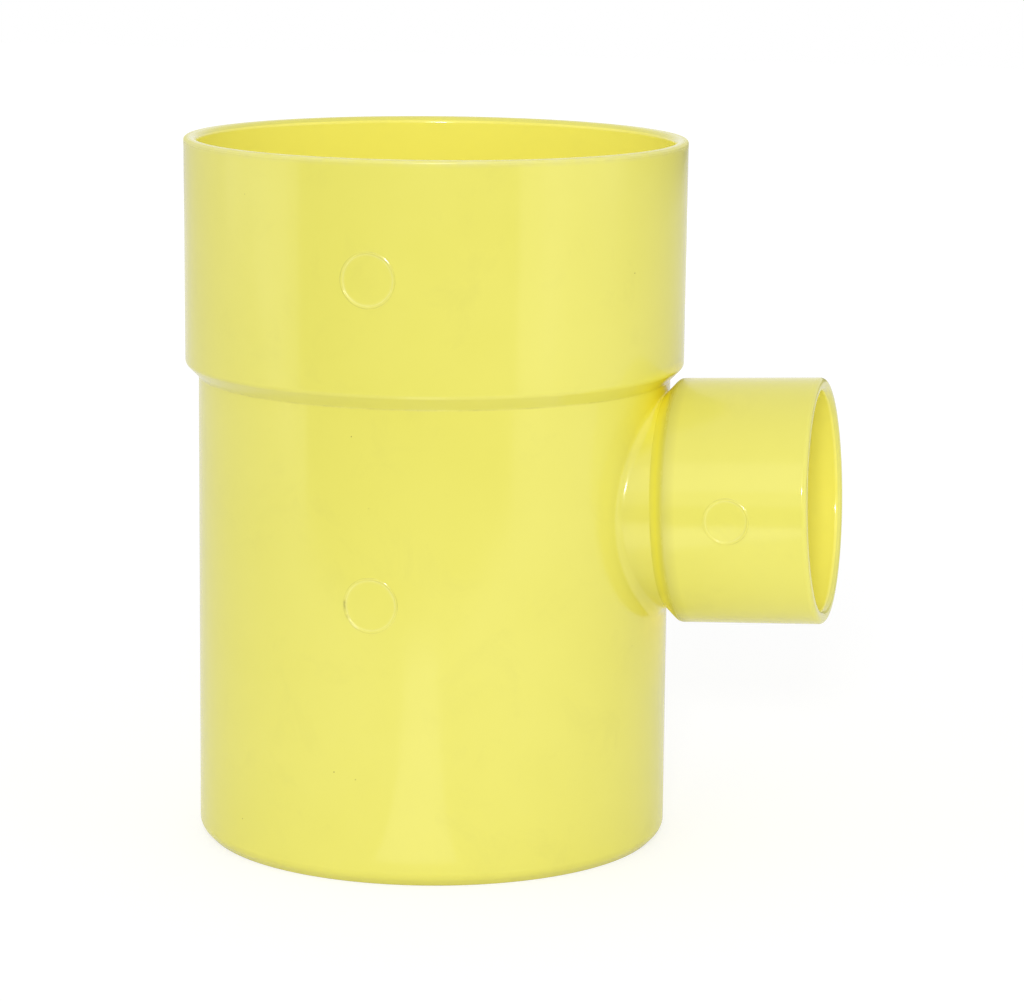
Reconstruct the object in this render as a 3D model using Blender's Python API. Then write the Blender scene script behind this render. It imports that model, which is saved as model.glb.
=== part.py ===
"""Reducing tee in rigid PVC, 110 mm run and 50 mm branch, moulded in one piece.

The run stands upright on its spigot end. The socket for the next run pipe is
at the top. The branch leaves toward +X and rises slightly toward the socket.
All sizes are metres.
"""
import math

import bmesh
import bpy
from mathutils import Vector

MM = 0.001

# Pipes that the tee joins
RUN_PIPE_DIAMETER = 110.0 * MM      # the spigot and the barrel have this outside too
BRANCH_PIPE_DIAMETER = 50.0 * MM
BRANCH_RISE = math.radians(2.5)     # the branch leaves at 87.5 degrees

# Walls and bores
BARREL_WALL = 3.2 * MM
BRANCH_BORE_DIAMETER = 43.8 * MM    # clear bore through the neck of the branch
NECK_WALL = 3.2 * MM

# Run socket
RUN_SOCKET_LENGTH = 52.1 * MM       # straight outside, from the shoulder to the mouth
RUN_SOCKET_DEPTH = 51.0 * MM        # mouth to the pipe stop
RUN_SOCKET_WALL = 3.1 * MM          # at the mouth
RUN_MOUTH_PLAY = 0.4 * MM           # on the diameter, at the mouth
RUN_STOP_PLAY = 0.1 * MM            # on the diameter, at the pipe stop
RUN_OUTSIDE_DRAFT = 0.2 * MM        # on the radius, over the straight outside
RUN_MOUTH_ROUND = 1.15 * MM         # outside edge of the mouth

# Branch socket
BRANCH_SOCKET_LENGTH = 33.1 * MM
BRANCH_SOCKET_DEPTH = 32.0 * MM
BRANCH_SOCKET_WALL = 3.2 * MM
BRANCH_MOUTH_PLAY = 0.3 * MM
BRANCH_STOP_PLAY = 0.1 * MM
BRANCH_OUTSIDE_DRAFT = 0.11 * MM
BRANCH_MOUTH_ROUND = 0.3 * MM

# Lead-in inside both mouths, and the chamfer round the spigot end
LEAD_IN_DEPTH = 1.7 * MM
LEAD_IN_WIDTH = 0.9 * MM
SPIGOT_CHAMFER = 2.1 * MM

# Where the branch sits on the run
SPIGOT_LENGTH = 56.4 * MM           # spigot end to the underside of the neck
NECK_TO_SOCKET = 2.1 * MM           # top of the neck to the run socket's shoulder
NECK_STANDOFF = 1.4 * MM            # barrel side to the branch socket's shoulder

# Blend between the neck and the barrel, and the eased edge inside it
SADDLE_BLEND = 2.6 * MM
BORE_EDGE_ROUND = 0.9 * MM

# Round insert marks left by the mould, one on each straight outside
MARK_DEPTH = 0.35 * MM
RUN_MARK_DIAMETER = 12.0 * MM
BRANCH_MARK_DIAMETER = 10.0 * MM
SOCKET_MARK_BELOW_MOUTH = 26.4 * MM
BARREL_MARK_ABOVE_END = 64.4 * MM
BRANCH_MARK_BEHIND_MOUTH = 18.3 * MM

# How finely the round shapes are cut
RUN_SEGMENTS = 72
BRANCH_SEGMENTS = 48
MARK_SEGMENTS = 32
MOUTH_ROUND_STEPS = 3
SMALL_ROUND_STEPS = 2
BLEND_STEPS = 5
PATCH_RINGS = 2
WINDOW_MARGIN = 4.0 * MM            # wall left around the branch opening before the plain rows
LEDGE_MARGIN = 0.5 * MM             # bore wall kept between a window or round and a pipe stop
SHOULDER_MARGIN = 0.05 * MM         # neck kept between the blend and the branch shoulder
SMALLEST_BALL = 0.05 * MM
HALVINGS = 30
MARK_PLUG_LENGTH = 2.0 * MM         # how far each mark's cutter stands out
CREASE_ANGLE = math.radians(35.0)

COLOUR = (0.80, 0.74, 0.11, 1.0)

# Radii that follow from the sizes above
BARREL_RADIUS = RUN_PIPE_DIAMETER / 2
RUN_BORE_RADIUS = BARREL_RADIUS - BARREL_WALL
RUN_MOUTH_BORE = BARREL_RADIUS + RUN_MOUTH_PLAY / 2
RUN_STOP_BORE = BARREL_RADIUS + RUN_STOP_PLAY / 2
RUN_MOUTH_OUTSIDE = RUN_MOUTH_BORE + RUN_SOCKET_WALL
RUN_SHOULDER_OUTSIDE = RUN_MOUTH_OUTSIDE - RUN_OUTSIDE_DRAFT
NECK_BORE_RADIUS = BRANCH_BORE_DIAMETER / 2
NECK_RADIUS = NECK_BORE_RADIUS + NECK_WALL
BRANCH_MOUTH_BORE = (BRANCH_PIPE_DIAMETER + BRANCH_MOUTH_PLAY) / 2
BRANCH_STOP_BORE = (BRANCH_PIPE_DIAMETER + BRANCH_STOP_PLAY) / 2
BRANCH_MOUTH_OUTSIDE = BRANCH_MOUTH_BORE + BRANCH_SOCKET_WALL
BRANCH_SHOULDER_OUTSIDE = BRANCH_MOUTH_OUTSIDE - BRANCH_OUTSIDE_DRAFT

# Heights up the run
NECK_HALF_HEIGHT = NECK_RADIUS / math.cos(BRANCH_RISE)
BRANCH_AT_WALL = SPIGOT_LENGTH + NECK_HALF_HEIGHT
BRANCH_ROOT = BRANCH_AT_WALL - BARREL_RADIUS * math.tan(BRANCH_RISE)
SHOULDER_BASE = BRANCH_AT_WALL + NECK_HALF_HEIGHT + NECK_TO_SOCKET
SHOULDER_TOP = SHOULDER_BASE + RUN_SHOULDER_OUTSIDE - BARREL_RADIUS
RUN_HEIGHT = SHOULDER_TOP + RUN_SOCKET_LENGTH
RUN_STOP = RUN_HEIGHT - RUN_SOCKET_DEPTH

# Distances out along the branch, from the run's axis
BRANCH_SHOULDER_BASE = BARREL_RADIUS + NECK_STANDOFF
BRANCH_SHOULDER_TOP = BRANCH_SHOULDER_BASE + BRANCH_SHOULDER_OUTSIDE - NECK_RADIUS
BRANCH_REACH = BRANCH_SHOULDER_TOP + BRANCH_SOCKET_LENGTH
BRANCH_STOP = BRANCH_REACH - BRANCH_SOCKET_DEPTH

# The branch's own directions: out along it, up across it and across to -Y
OUT = Vector((math.cos(BRANCH_RISE), 0.0, math.sin(BRANCH_RISE)))
UP = Vector((-math.sin(BRANCH_RISE), 0.0, math.cos(BRANCH_RISE)))
ACROSS = Vector((0.0, -1.0, 0.0))

# The origin is under the middle of the part, so the run stands back from it
FRONT_EXTENT = OUT.x * BRANCH_REACH + OUT.z * (BRANCH_MOUTH_OUTSIDE - BRANCH_MOUTH_ROUND)
RUN_AXIS_X = (RUN_MOUTH_OUTSIDE - FRONT_EXTENT) / 2
ROOT = Vector((RUN_AXIS_X, 0.0, BRANCH_ROOT))


def on_run(radius, angle, height):
    """Point at an angle round the run's axis; zero faces the branch."""
    return Vector((RUN_AXIS_X + radius * math.cos(angle), radius * math.sin(angle), height))


def on_branch(radius, angle, distance):
    """Point at an angle round the branch; zero is its top."""
    spoke = UP * math.cos(angle) + ACROSS * math.sin(angle)
    return ROOT + OUT * distance + spoke * radius


def ball_centre(run_radius, branch_radius, ball, angle):
    """Centre of a ball that touches the run and the branch outsides at once."""
    spread = branch_radius + ball
    sideways = spread * math.sin(angle)
    forward = math.sqrt((run_radius + ball) ** 2 - sideways ** 2)
    distance = (forward + spread * math.cos(angle) * OUT.z) / OUT.x
    return on_branch(spread, angle, distance), distance


def ball_that_fits(run_radius, branch_radius, ball, angle, limit):
    """Largest ball up to the given one that meets the branch before the limit."""
    if ball_centre(run_radius, branch_radius, ball, angle)[1] <= limit:
        return ball
    small = 0.0
    large = ball
    for _ in range(HALVINGS):
        middle = (small + large) / 2
        if ball_centre(run_radius, branch_radius, middle, angle)[1] <= limit:
            small = middle
        else:
            large = middle
    return max(small, SMALLEST_BALL)


def blend_row(run_radius, branch_radius, ball, angle, limit):
    """Points over the blend at one angle, from the branch down to the run."""
    fitted = ball_that_fits(run_radius, branch_radius, ball, angle, limit)
    centre, distance = ball_centre(run_radius, branch_radius, fitted, angle)
    to_branch = on_branch(0.0, 0.0, distance) - centre
    to_run = Vector((RUN_AXIS_X - centre.x, -centre.y, 0.0))
    to_branch.normalize()
    to_run.normalize()
    return [centre + to_branch.slerp(to_run, step / BLEND_STEPS) * fitted
            for step in range(BLEND_STEPS + 1)]


def skin_loops(bm, lower, upper):
    """Quads between two closed loops with the same number of points."""
    count = len(lower)
    for i in range(count):
        j = (i + 1) % count
        bm.faces.new((lower[i], lower[j], upper[j], upper[i]))


def stack(bm, start, rings):
    """Skin from a loop through each following ring; returns the last loop."""
    loop = start
    for ring in rings:
        following = [bm.verts.new(point) for point in ring]
        skin_loops(bm, loop, following)
        loop = following
    return loop


def run_rings(profile):
    """Rings round the run for each (radius, height)."""
    turn = 2 * math.pi / RUN_SEGMENTS
    return [[on_run(radius, i * turn, height) for i in range(RUN_SEGMENTS)]
            for radius, height in profile]


def branch_rings(profile):
    """Rings round the branch for each (radius, distance)."""
    turn = 2 * math.pi / BRANCH_SEGMENTS
    return [[on_branch(radius, i * turn, distance) for i in range(BRANCH_SEGMENTS)]
            for radius, distance in profile]


def rounded_edge(radius, level, ease, steps):
    """Profile of an outside edge eased with a round, ending on the flat."""
    arc = []
    for step in range(steps + 1):
        turn = math.pi / 2 * step / steps
        arc.append((radius - ease + ease * math.cos(turn), level - ease + ease * math.sin(turn)))
    return arc


def barrel_with_opening(bm, run_radius, branch_radius, ball, limit, top, bottom):
    """Straight wall of the run with the branch opening and its blend.

    Returns the top loop, the bottom loop and the loop where the branch starts.
    """
    turn = 2 * math.pi / RUN_SEGMENTS
    reach = math.asin((branch_radius + ball) / run_radius) + WINDOW_MARGIN / run_radius
    half = math.ceil(reach / turn)
    rows = BRANCH_SEGMENTS // 2 - 2 * half
    grid = []
    for row in range(rows + 1):
        height = top + (bottom - top) * row / rows
        line = []
        for column in range(RUN_SEGMENTS):
            offset = (column + RUN_SEGMENTS // 2) % RUN_SEGMENTS - RUN_SEGMENTS // 2
            inside = abs(offset) < half and 0 < row < rows
            point = on_run(run_radius, column * turn, height)
            line.append(None if inside else bm.verts.new(point))
        grid.append(line)
    for row in range(rows):
        for column in range(half, RUN_SEGMENTS - half):
            after = (column + 1) % RUN_SEGMENTS
            corners = (grid[row][column], grid[row][after], grid[row + 1][after], grid[row + 1][column])
            bm.faces.new(corners)

    # Edge of the window, from the middle of its top round by the -Y side
    frame = [(0, -column) for column in range(half)]
    frame += [(row, -half) for row in range(rows)]
    frame += [(rows, column) for column in range(-half, half)]
    frame += [(row, half) for row in range(rows, 0, -1)]
    frame += [(0, column) for column in range(half, 0, -1)]
    outer = [grid[row][column % RUN_SEGMENTS] for row, column in frame]

    blend = [blend_row(run_radius, branch_radius, ball, 2 * math.pi * i / BRANCH_SEGMENTS, limit)
             for i in range(BRANCH_SEGMENTS)]
    loop = outer
    for ring in range(PATCH_RINGS - 1, -1, -1):
        share = ring / PATCH_RINGS
        points = []
        for i, (row, column) in enumerate(frame):
            foot = blend[i][-1]
            foot_angle = math.atan2(foot.y, foot.x - RUN_AXIS_X)
            angle = foot_angle + (column * turn - foot_angle) * share
            height = foot.z + (top + (bottom - top) * row / rows - foot.z) * share
            points.append(on_run(run_radius, angle, height))
        loop = stack(bm, loop, [points])
    rings = [[row[step] for row in blend] for step in range(BLEND_STEPS - 1, -1, -1)]
    branch_start = stack(bm, loop, rings)
    return grid[0], grid[-1], branch_start


def outside_skin(bm):
    """Outside of the tee, open at its three ends."""
    neck_limit = BRANCH_SHOULDER_BASE - SHOULDER_MARGIN
    window_bottom = SPIGOT_LENGTH - SADDLE_BLEND - WINDOW_MARGIN
    top, bottom, branch = barrel_with_opening(
        bm, BARREL_RADIUS, NECK_RADIUS, SADDLE_BLEND, neck_limit, SHOULDER_BASE, window_bottom)
    socket = [(RUN_SHOULDER_OUTSIDE, SHOULDER_TOP)]
    socket += rounded_edge(RUN_MOUTH_OUTSIDE, RUN_HEIGHT, RUN_MOUTH_ROUND, MOUTH_ROUND_STEPS)
    spigot = [(BARREL_RADIUS, SPIGOT_CHAMFER), (BARREL_RADIUS - SPIGOT_CHAMFER, 0.0)]
    outlet = [(NECK_RADIUS, BRANCH_SHOULDER_BASE), (BRANCH_SHOULDER_OUTSIDE, BRANCH_SHOULDER_TOP)]
    outlet += rounded_edge(BRANCH_MOUTH_OUTSIDE, BRANCH_REACH, BRANCH_MOUTH_ROUND, SMALL_ROUND_STEPS)
    return (stack(bm, top, run_rings(socket)),
            stack(bm, bottom, run_rings(spigot)),
            stack(bm, branch, branch_rings(outlet)))


def bore_skin(bm):
    """Inside of the tee, open at its three ends."""
    hole_middle = BRANCH_ROOT + RUN_BORE_RADIUS * math.tan(BRANCH_RISE)
    hole_reach = NECK_BORE_RADIUS / OUT.x + BORE_EDGE_ROUND + WINDOW_MARGIN
    window_top = min(hole_middle + hole_reach, RUN_STOP - LEDGE_MARGIN)
    top, bottom, branch = barrel_with_opening(
        bm, RUN_BORE_RADIUS, NECK_BORE_RADIUS, BORE_EDGE_ROUND,
        BRANCH_STOP - LEDGE_MARGIN, window_top, hole_middle - hole_reach)
    socket = [(RUN_BORE_RADIUS, RUN_STOP),
              (RUN_STOP_BORE, RUN_STOP),
              (RUN_MOUTH_BORE, RUN_HEIGHT - LEAD_IN_DEPTH),
              (RUN_MOUTH_BORE + LEAD_IN_WIDTH, RUN_HEIGHT)]
    spigot = [(RUN_BORE_RADIUS, 0.0)]
    outlet = [(NECK_BORE_RADIUS, BRANCH_STOP),
              (BRANCH_STOP_BORE, BRANCH_STOP),
              (BRANCH_MOUTH_BORE, BRANCH_REACH - LEAD_IN_DEPTH),
              (BRANCH_MOUTH_BORE + LEAD_IN_WIDTH, BRANCH_REACH)]
    return (stack(bm, top, run_rings(socket)),
            stack(bm, bottom, run_rings(spigot)),
            stack(bm, branch, branch_rings(outlet)))


def tee_mesh():
    """The whole wall: both skins joined by the rims at the three ends."""
    bm = bmesh.new()
    for outside, inside in zip(outside_skin(bm), bore_skin(bm)):
        skin_loops(bm, outside, inside)
    bmesh.ops.recalc_face_normals(bm, faces=bm.faces)
    mesh = bpy.data.meshes.new("tee_body")
    bm.to_mesh(mesh)
    bm.free()
    mesh.shade_smooth()
    mesh.set_sharp_from_angle(angle=CREASE_ANGLE)
    return mesh


def plug_mesh(x, z, radius, surface):
    """Short cylinder across -Y whose flat inner end is the floor of a mark."""
    inner = MARK_DEPTH - surface
    outer = -surface - MARK_PLUG_LENGTH
    bm = bmesh.new()
    loops = []
    for level in (inner, outer):
        angles = [2 * math.pi * (i + 0.5) / MARK_SEGMENTS for i in range(MARK_SEGMENTS)]
        loop = [bm.verts.new((x + radius * math.cos(a), level, z + radius * math.sin(a)))
                for a in angles]
        bm.faces.new(loop)
        loops.append(loop)
    skin_loops(bm, loops[0], loops[1])
    bmesh.ops.recalc_face_normals(bm, faces=bm.faces)
    mesh = bpy.data.meshes.new("mark_plug")
    bm.to_mesh(mesh)
    bm.free()
    return mesh


def press_marks(body):
    """Cut the three insert marks into the outside that faces -Y."""
    socket_drop = RUN_OUTSIDE_DRAFT * SOCKET_MARK_BELOW_MOUTH / RUN_SOCKET_LENGTH
    branch_drop = BRANCH_OUTSIDE_DRAFT * BRANCH_MARK_BEHIND_MOUTH / BRANCH_SOCKET_LENGTH
    branch_centre = on_branch(0.0, 0.0, BRANCH_REACH - BRANCH_MARK_BEHIND_MOUTH)
    marks = {
        "socket_mark": (RUN_AXIS_X, RUN_HEIGHT - SOCKET_MARK_BELOW_MOUTH,
                        RUN_MARK_DIAMETER, RUN_MOUTH_OUTSIDE - socket_drop),
        "barrel_mark": (RUN_AXIS_X, BARREL_MARK_ABOVE_END, RUN_MARK_DIAMETER, BARREL_RADIUS),
        "branch_mark": (branch_centre.x, branch_centre.z,
                        BRANCH_MARK_DIAMETER, BRANCH_MOUTH_OUTSIDE - branch_drop),
    }
    for name, (x, z, diameter, surface) in marks.items():
        plug = bpy.data.objects.new(name, plug_mesh(x, z, diameter / 2, surface))
        plug.hide_render = True
        plug.display_type = "WIRE"
        bpy.context.scene.collection.objects.link(plug)
        cut = body.modifiers.new(name, "BOOLEAN")
        cut.operation = "DIFFERENCE"
        cut.object = plug


def yellow_pvc():
    """Plain glossy yellow, close to the moulded colour."""
    material = bpy.data.materials.new("yellow_pvc")
    material.use_nodes = True
    surface = material.node_tree.nodes["Principled BSDF"]
    surface.inputs["Base Color"].default_value = COLOUR
    surface.inputs["Roughness"].default_value = 0.25
    return material


def main():
    for item in list(bpy.data.objects):
        bpy.data.objects.remove(item, do_unlink=True)
    mesh = tee_mesh()
    mesh.materials.append(yellow_pvc())
    body = bpy.data.objects.new("tee_body", mesh)
    bpy.context.scene.collection.objects.link(body)
    press_marks(body)


main()
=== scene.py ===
"""Studio picture of the reducing tee: finely moulded body, yellow uPVC, light and camera.

The tee stands where the solid stands, run upright on its spigot end and branch
toward +X. All sizes are metres unless a comment says otherwise.
"""
import math

import bmesh
import bpy
from mathutils import Matrix, Vector


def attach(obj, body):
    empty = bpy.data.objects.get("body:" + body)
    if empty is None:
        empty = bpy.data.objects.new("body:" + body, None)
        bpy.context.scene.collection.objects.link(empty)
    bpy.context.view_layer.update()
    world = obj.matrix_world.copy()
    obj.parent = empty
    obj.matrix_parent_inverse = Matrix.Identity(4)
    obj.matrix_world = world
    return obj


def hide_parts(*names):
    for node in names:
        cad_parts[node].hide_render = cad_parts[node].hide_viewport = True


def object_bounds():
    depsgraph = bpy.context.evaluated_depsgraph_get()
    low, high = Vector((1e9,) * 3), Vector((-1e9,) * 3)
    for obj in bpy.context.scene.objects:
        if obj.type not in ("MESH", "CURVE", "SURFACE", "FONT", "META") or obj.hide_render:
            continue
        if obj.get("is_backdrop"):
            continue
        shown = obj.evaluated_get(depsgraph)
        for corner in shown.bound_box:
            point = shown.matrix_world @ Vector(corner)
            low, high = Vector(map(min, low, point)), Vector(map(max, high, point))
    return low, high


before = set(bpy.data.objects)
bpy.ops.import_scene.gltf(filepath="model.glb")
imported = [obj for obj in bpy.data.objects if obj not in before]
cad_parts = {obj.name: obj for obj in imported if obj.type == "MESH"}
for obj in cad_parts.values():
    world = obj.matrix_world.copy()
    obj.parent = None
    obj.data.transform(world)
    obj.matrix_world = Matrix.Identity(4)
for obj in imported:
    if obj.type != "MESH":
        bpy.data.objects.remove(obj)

SOLID_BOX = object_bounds()
MM = 0.001

# Sizes of the tee, the same as the solid's
BRANCH_RISE = math.radians(2.5)
BARREL_RADIUS = 55.0 * MM
RUN_BORE_RADIUS = 51.8 * MM
RUN_MOUTH_BORE = 55.2 * MM
RUN_STOP_BORE = 55.05 * MM
RUN_MOUTH_OUTSIDE = 58.3 * MM
RUN_SHOULDER_OUTSIDE = 58.1 * MM
RUN_SOCKET_LENGTH = 52.1 * MM
RUN_SOCKET_DEPTH = 51.0 * MM
NECK_RADIUS = 25.1 * MM
NECK_BORE_RADIUS = 21.9 * MM
BRANCH_MOUTH_BORE = 25.15 * MM
BRANCH_STOP_BORE = 25.05 * MM
BRANCH_MOUTH_OUTSIDE = 28.35 * MM
BRANCH_SHOULDER_OUTSIDE = 28.24 * MM
BRANCH_MOUTH_ROUND = 0.3 * MM
BRANCH_SOCKET_LENGTH = 33.1 * MM
BRANCH_SOCKET_DEPTH = 32.0 * MM
SPIGOT_CHAMFER = 2.1 * MM
SPIGOT_LENGTH = 56.4 * MM
NECK_TO_SOCKET = 2.1 * MM
NECK_STANDOFF = 1.4 * MM
SADDLE_BLEND = 2.6 * MM
BORE_EDGE_ROUND = 0.9 * MM

# Heights and distances that follow from them
NECK_HALF_HEIGHT = NECK_RADIUS / math.cos(BRANCH_RISE)
BRANCH_AT_WALL = SPIGOT_LENGTH + NECK_HALF_HEIGHT
BRANCH_ROOT = BRANCH_AT_WALL - BARREL_RADIUS * math.tan(BRANCH_RISE)
SHOULDER_BASE = BRANCH_AT_WALL + NECK_HALF_HEIGHT + NECK_TO_SOCKET
SHOULDER_TOP = SHOULDER_BASE + RUN_SHOULDER_OUTSIDE - BARREL_RADIUS
RUN_HEIGHT = SHOULDER_TOP + RUN_SOCKET_LENGTH
RUN_STOP = RUN_HEIGHT - RUN_SOCKET_DEPTH
BRANCH_SHOULDER_BASE = BARREL_RADIUS + NECK_STANDOFF
BRANCH_SHOULDER_TOP = BRANCH_SHOULDER_BASE + BRANCH_SHOULDER_OUTSIDE - NECK_RADIUS
BRANCH_REACH = BRANCH_SHOULDER_TOP + BRANCH_SOCKET_LENGTH
BRANCH_STOP = BRANCH_REACH - BRANCH_SOCKET_DEPTH

# The branch's own directions: out along it, up across it and across to -Y
OUT = Vector((math.cos(BRANCH_RISE), 0.0, math.sin(BRANCH_RISE)))
UP = Vector((-math.sin(BRANCH_RISE), 0.0, math.cos(BRANCH_RISE)))
ACROSS = Vector((0.0, -1.0, 0.0))
FRONT_EXTENT = OUT.x * BRANCH_REACH + OUT.z * (BRANCH_MOUTH_OUTSIDE - BRANCH_MOUTH_ROUND)
RUN_AXIS_X = (RUN_MOUTH_OUTSIDE - FRONT_EXTENT) / 2
ROOT = Vector((RUN_AXIS_X, 0.0, BRANCH_ROOT))

# Small rounds that the mould leaves on each corner
SHOULDER_CORNER = 0.8 * MM
SHOULDER_EDGE = 1.5 * MM
NECK_CORNER = 0.35 * MM
OUTLET_EDGE = 1.6 * MM
OUTLET_RIM_EDGE = 1.25 * MM
RUN_RIM_EDGE = 0.7 * MM
SPIGOT_EDGE = 0.3 * MM
CHAMFER_EDGE = 3.0 * MM
LEAD_IN_ROUND = 1.55 * MM
STOP_ROUND = 0.3 * MM

# Share of a round's size that it takes from each wall of a 45 degree corner
HALF_CORNER = math.tan(math.radians(22.5))

# How finely the round shapes are cut
RUN_SEGMENTS = 216
BRANCH_SEGMENTS = 144
ROUND_STEP = math.radians(7.5)
BLEND_STEPS = 14
PATCH_RINGS = 6
WINDOW_MARGIN = 4.0 * MM
LEDGE_MARGIN = 0.8 * MM
SHOULDER_MARGIN = 0.05 * MM
SMALLEST_BALL = 0.05 * MM
HALVINGS = 30

# Extra rows of points where the finish of a long plain wall starts or stops,
# and how far the deeper yellow of painted bounce light reaches from the top and the foot of the neck
# Margins of the painted bounce light in the bores
BORE_LIGHT_EDGE = 1.0 * MM
BORE_LIGHT_TOP = LEAD_IN_ROUND * 0.6
SOCKET_ROW = 2.5 * MM
RIM_ROW = 1.7 * MM
OUTLET_ROW = 3.2 * MM
CREASE_ROW = 0.8 * MM
CREASE_END = 2.5 * CREASE_ROW
TOP_CREASE = 30.0 * MM
FOOT_CREASE = 20.0 * MM

# Round insert marks: where they are, and the shape across one edge,
# as (distance outside the circle, rise above the wall)
RUN_MARK_RADIUS = 6.0 * MM
BRANCH_MARK_RADIUS = 5.0 * MM
MARK_ANGLE = math.radians(269.2)
SOCKET_MARK_HEIGHT = RUN_HEIGHT - 26.4 * MM
BARREL_MARK_HEIGHT = 64.4 * MM
BRANCH_MARK_DISTANCE = BRANCH_REACH - 18.3 * MM
MARK_EDGE = ((0.40, 0.000), (0.33, 0.010), (0.26, 0.030), (0.19, 0.058), (0.11, 0.070),
             (0.03, 0.066), (-0.04, 0.045), (-0.11, -0.010), (-0.19, -0.080), (-0.27, -0.130),
             (-0.38, -0.160), (-0.60, -0.188), (-0.90, -0.200))
MARK_FLOOR_RINGS = 3
MARK_HALF_COLUMNS = 6
RUN_MARK_ROWS = 9
RUN_MARK_WINDOW = 17.5 * MM
BRANCH_MARK_ROWS = 12
BRANCH_MARK_WINDOW = 15.0 * MM


def on_run(radius, angle, height):
    """Point at an angle round the run's axis; zero faces the branch."""
    return Vector((RUN_AXIS_X + radius * math.cos(angle), radius * math.sin(angle), height))


def on_branch(radius, angle, distance):
    """Point at an angle round the branch; zero is its top."""
    spoke = UP * math.cos(angle) + ACROSS * math.sin(angle)
    return ROOT + OUT * distance + spoke * radius


# Where the finish and the painted light and shade change: rings of the run's and the branch's profile as
# (radius, level, reach, strength), a mark's edge as (distance outside it, reach, strength),
# and the creases over and under the neck, where bounce light is painted, as (middle, reach)
RUN_RUBBED = ((RUN_MOUTH_OUTSIDE, RUN_HEIGHT, RUN_RIM_EDGE * 1.7, 1.2),)
MARK_RUBBED = (-0.35 * MM, 0.45 * MM, 0.45)
# Darker patches along the shoulder's foot corner and just under the rim's round
RUN_DARK_PATCHES = ((BARREL_RADIUS, SHOULDER_BASE, SHOULDER_CORNER * HALF_CORNER, 0.32),
              (RUN_MOUTH_OUTSIDE, RUN_HEIGHT - RUN_RIM_EDGE, RUN_RIM_EDGE * 0.7, 0.15))
# Painted shade, with a rougher bloom, on the branch's shoulder edge and on the neck
BRANCH_SHADE_AND_BLOOM = ((BRANCH_SHOULDER_OUTSIDE, BRANCH_SHOULDER_TOP, 3.0 * MM, 1.0),
                 (NECK_RADIUS, BARREL_RADIUS - 2.5 * MM, 6.0 * MM, 0.35))
# Painted bounce light in the creases over and under the neck, then in a ring at the foot of the branch's
# shoulder
CREASES = ((on_branch(NECK_RADIUS, 0.0, BARREL_RADIUS), TOP_CREASE),
           (on_branch(NECK_RADIUS, math.pi, BARREL_RADIUS), FOOT_CREASE))
BRANCH_CREASE = (NECK_RADIUS + 2 * CREASE_ROW, BRANCH_SHOULDER_BASE + 2 * CREASE_ROW, 3.2 * MM, 0.5)
# Distance from the gap over the neck within which the darker patches fade out, then the darker ring just
# outside each mark's lip
DARK_PATCH_STOPS = 25.0 * MM
MARK_DARK_PATCH = (0.27 * MM, 0.12 * MM, 0.5)
MARKS = ((on_run(RUN_SHOULDER_OUTSIDE, MARK_ANGLE, SOCKET_MARK_HEIGHT), RUN_MARK_RADIUS),
         (on_run(BARREL_RADIUS, MARK_ANGLE, BARREL_MARK_HEIGHT), RUN_MARK_RADIUS),
         (on_branch(BRANCH_SHOULDER_OUTSIDE, math.pi / 2, BRANCH_MARK_DISTANCE), BRANCH_MARK_RADIUS))


def by_low_mark(left, up):
    """Place on the barrel this far to the left of the low mark's middle and above it."""
    return on_run(BARREL_RADIUS, MARK_ANGLE - left * MM / BARREL_RADIUS, BARREL_MARK_HEIGHT + up * MM)


# Where the low mark's edge is scuffed or grimed most, as (place, reach, strength)
SPOT_BAND = 0.45 * MM
RUBBED_SPOTS = ((by_low_mark(3.6, -4.6), 2.2 * MM, 1.3),)
GRIMED_SPOTS = ((by_low_mark(6.0, -0.1), 2.0 * MM, 1.05),
                (by_low_mark(5.0, -3.3), 1.5 * MM, 0.95))


def straight(start, end, steps):
    """Corners with no round, evenly along a straight stretch of wall."""
    return [(start[0] + (end[0] - start[0]) * i / steps, start[1] + (end[1] - start[1]) * i / steps, 0.0)
            for i in range(steps + 1)]


def eased(corners):
    """Profile through (radius, level, round) corners, each turned with a round of its own size."""
    profile = []
    for i, (radius, level, ease) in enumerate(corners):
        corner = Vector((radius, level, 0.0))
        if ease == 0.0:
            profile.append((radius, level))
            continue
        before = Vector((*corners[i - 1][:2], 0.0)) - corner
        after = Vector((*corners[(i + 1) % len(corners)][:2], 0.0)) - corner
        before.normalize()
        after.normalize()
        turn = math.pi - before.angle(after)
        centre = corner + (before + after).normalized() * ease / math.cos(turn / 2)
        setback = ease * math.tan(turn / 2)
        first = (corner + before * setback - centre).normalized()
        last = (corner + after * setback - centre).normalized()
        steps = max(2, math.ceil(turn / ROUND_STEP))
        for step in range(steps + 1):
            point = centre + first.slerp(last, step / steps) * ease
            profile.append((point.x, point.y))
    return profile


def skin_loops(bm, lower, upper):
    """Quads between two closed loops with the same number of points."""
    for i in range(len(lower)):
        j = (i + 1) % len(lower)
        bm.faces.new((lower[i], lower[j], upper[j], upper[i]))


def stack(bm, start, rings):
    """Skin from a loop through each following ring; returns the last loop."""
    loop = start
    for ring in rings:
        following = [bm.verts.new(point) for point in ring]
        skin_loops(bm, loop, following)
        loop = following
    return loop


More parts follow.
